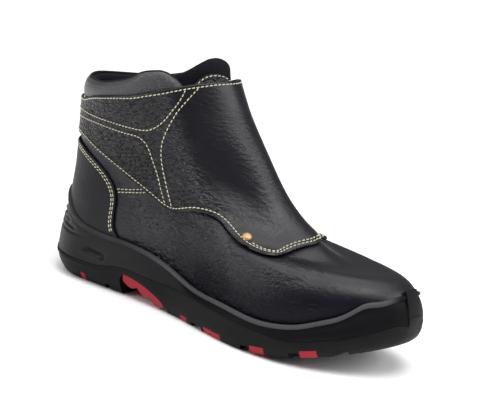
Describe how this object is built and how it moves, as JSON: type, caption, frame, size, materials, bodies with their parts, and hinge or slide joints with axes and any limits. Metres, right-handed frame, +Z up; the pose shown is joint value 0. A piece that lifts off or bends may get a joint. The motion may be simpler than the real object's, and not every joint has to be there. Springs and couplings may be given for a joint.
{
  "type": "safety shoe",
  "caption": "Ankle-high welder safety shoe with a wraparound spark flap, a padded collar, a cup sole with a lugged tread and coloured sole inserts; right foot.",
  "frame": {"origin": "centre of the bounding box at the floor, under the middle of the sole", "axes": "+X towards the toe, +Y towards the medial side, +Z up; the shoe stands on its sole"},
  "size_m": [0.3, 0.1095, 0.1778],
  "materials": {
    "black_grain_leather": "pebbled satin",
    "black_smooth_leather": "satin",
    "black_textile": "matt",
    "black_sole": "satin",
    "red_sole": "satin",
    "brass": "polished"
  },
  "bodies": {
    "root": {"outsole": "black_sole", "midsole": "black_sole", "upper": "black_grain_leather", "flap": "black_grain_leather", "heel_counter": "black_smooth_leather", "tongue": "black_textile", "insole": "black_textile", "arch_insert": "red_sole", "lug_insert_lateral_1": "red_sole", "lug_insert_lateral_2": "red_sole", "lug_insert_lateral_3": "red_sole", "lug_insert_lateral_4": "red_sole", "lug_insert_lateral_5": "red_sole", "lug_insert_medial_1": "red_sole", "lug_insert_medial_2": "red_sole", "lug_insert_medial_3": "red_sole", "lug_insert_medial_4": "red_sole", "lug_insert_medial_5": "red_sole", "rivet_lateral": "brass", "rivet_medial": "brass"}
  },
  "joints": []
}
